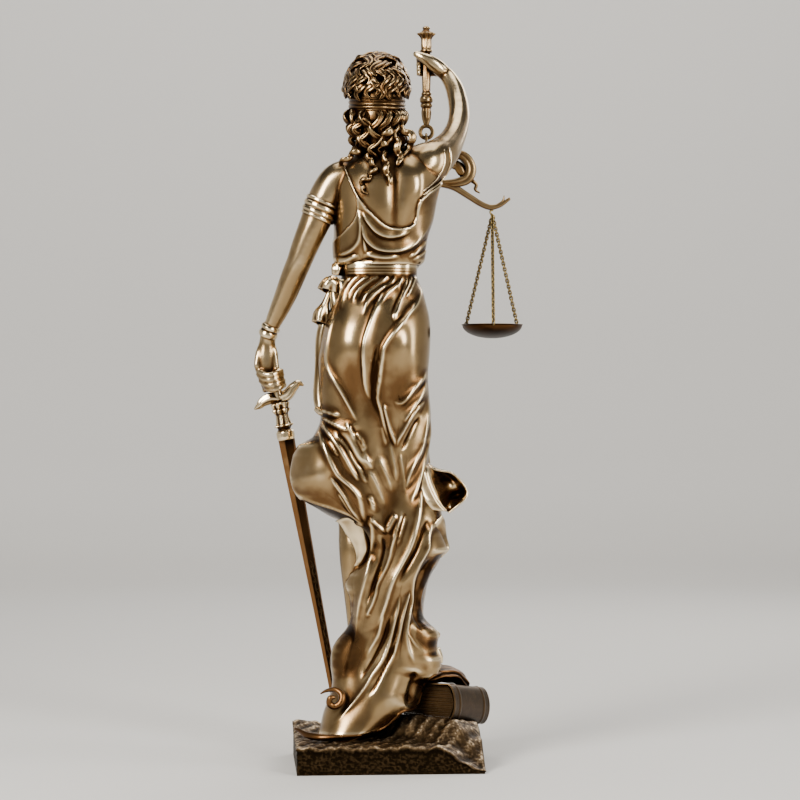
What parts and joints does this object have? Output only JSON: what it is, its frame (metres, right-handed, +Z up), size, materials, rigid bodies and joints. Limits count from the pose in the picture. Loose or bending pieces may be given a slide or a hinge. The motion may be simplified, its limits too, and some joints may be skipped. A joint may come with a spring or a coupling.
{
  "type": "lady justice statue",
  "caption": "Standing blindfolded woman in blown drapery, sword lowered and hanging balance raised, on a rock base with a book.",
  "frame": {"origin": "middle of the rock base's flat underside", "axes": "+Z up, the figure faces -Y, the raised arm with the balance is towards -X"},
  "size_m": [0.2825, 0.2039, 0.7603],
  "materials": {
    "bronze": "rubbed antique bronze, pale on the folds and dark brown in the hollows",
    "rock": "dark patinated bronze with rubbed pale edges",
    "sword": "brown bronze with a darker engraved middle panel",
    "chain": "aged brass",
    "pan": "brown bronze"
  },
  "bodies": {
    "root": {"figure": "bronze", "base": "rock", "sword": "sword", "balance_staff": "bronze", "balance_beam": "bronze", "right_chains": "chain", "left_chains": "chain", "right_pan": "pan", "left_pan": "pan"}
  },
  "joints": []
}
